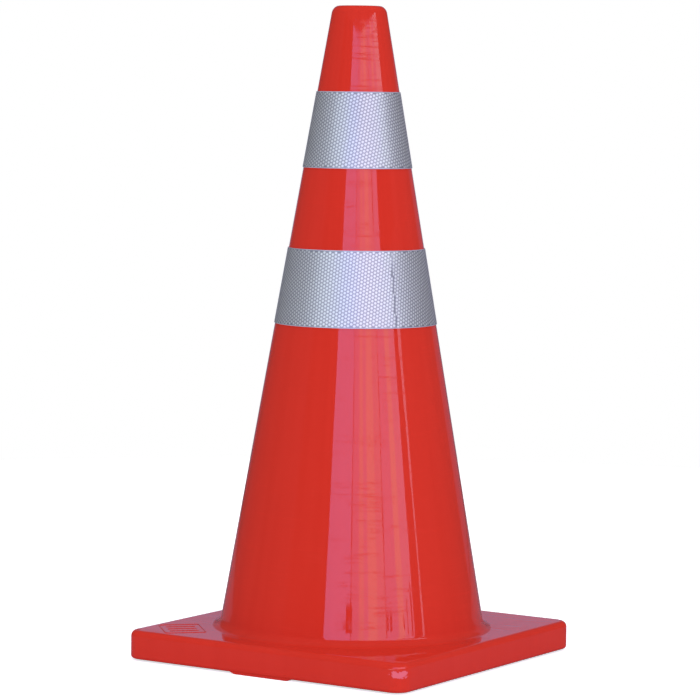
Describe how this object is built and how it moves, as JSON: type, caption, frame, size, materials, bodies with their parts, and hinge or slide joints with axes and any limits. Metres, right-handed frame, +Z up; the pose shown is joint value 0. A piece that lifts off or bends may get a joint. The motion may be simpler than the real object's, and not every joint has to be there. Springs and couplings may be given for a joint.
{
  "type": "traffic cone",
  "caption": "Tall tapered road cone on a square weighted base, with slip-on reflective collars and an open top.",
  "frame": {"origin": "middle of the square base, on the ground", "axes": "+Z up along the cone's axis; X and Y square to the base's sides, with the long feet under the -Y and +Y sides"},
  "size_m": [0.356, 0.356, 0.711],
  "materials": {
    "moulded_pvc": "glossy flow-moulded red-orange PVC",
    "recycled_pvc": "dull black recycled PVC with a fine grain",
    "backing_sheet": "smooth white vinyl",
    "prismatic_sheet": "silver-white prismatic vinyl with a fine staggered cell pattern"
  },
  "bodies": {
    "cone": {"cone_body": "moulded_pvc", "base_ballast": "recycled_pvc"},
    "upper_collar": {"upper_collar_backing": "backing_sheet", "upper_collar_face": "prismatic_sheet", "upper_collar_lap": "prismatic_sheet"},
    "lower_collar": {"lower_collar_backing": "backing_sheet", "lower_collar_face": "prismatic_sheet", "lower_collar_lap": "prismatic_sheet"}
  },
  "joints": [
    {"name": "upper_collar_lift", "type": "slide", "parent": "cone", "child": "upper_collar", "axis": [0, 0, 1], "range_m": [0, 0.29]},
    {"name": "lower_collar_lift", "type": "slide", "parent": "cone", "child": "lower_collar", "axis": [0, 0, 1], "range_m": [0, 0.36]}
  ]
}
